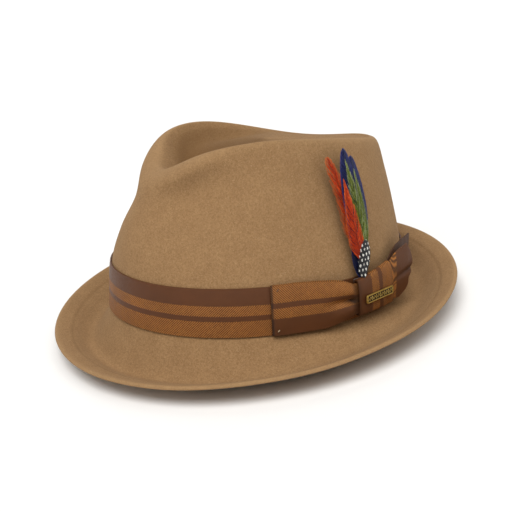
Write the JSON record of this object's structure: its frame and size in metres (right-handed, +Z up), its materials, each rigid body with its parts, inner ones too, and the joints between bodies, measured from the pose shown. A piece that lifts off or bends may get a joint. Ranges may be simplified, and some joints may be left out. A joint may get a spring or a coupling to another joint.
{
  "type": "fedora hat",
  "caption": "Short-brimmed felt fedora with a teardrop crown, striped ribbon band, side bow with a small bar badge and a pull-out bunch of dyed feathers.",
  "frame": {"origin": "middle of the bounding box, on the surface that the brim rests on", "axes": "+Z up, -Y the front of the hat, +X the wearer's left, where the bow is"},
  "size_m": [0.2716, 0.2744, 0.1251],
  "materials": {
    "felt": "wool felt, matt, brushed nap",
    "ribbon": "striped twill ribbon, brown and tan",
    "thread": "matt thread",
    "badge_brass": "aged brass, raised ornament",
    "feather_blue": "dyed feather, silky",
    "feather_dark": "dyed feather, silky",
    "feather_green": "dyed feather, silky",
    "feather_orange": "dyed hackle, fluffy",
    "feather_spotted": "black feather with white spots",
    "quill": "bare quill",
    "sweatband_leather": "smooth roan leather",
    "reed_plastic": "smooth",
    "tape": "woven tape",
    "lining": "satin lining"
  },
  "bodies": {
    "hat": {"felt_body": "felt", "hat_band": "ribbon", "bow_loop": "ribbon", "bow_knot": "ribbon", "bow_tail_front": "ribbon", "bow_tail_back": "ribbon", "tack_stitch_upper": "thread", "tack_stitch_lower": "thread", "badge": "badge_brass", "sweatband": "sweatband_leather", "sweatband_reed": "reed_plastic", "reed_tape": "tape", "sweatband_bow": "tape", "lining_side": "lining", "lining_tip": "lining"},
    "feather_mount": {"feather_blue": "feather_blue", "feather_dark": "feather_dark", "feather_green": "feather_green", "feather_orange": "feather_orange", "feather_spotted": "feather_spotted", "feather_binding": "thread", "feather_quill": "quill"}
  },
  "joints": [
    {"name": "feather_pull", "type": "slide", "parent": "hat", "child": "feather_mount", "axis": [-0.097, 0.0956, 0.9907], "range_m": [0, 0.045]}
  ]
}
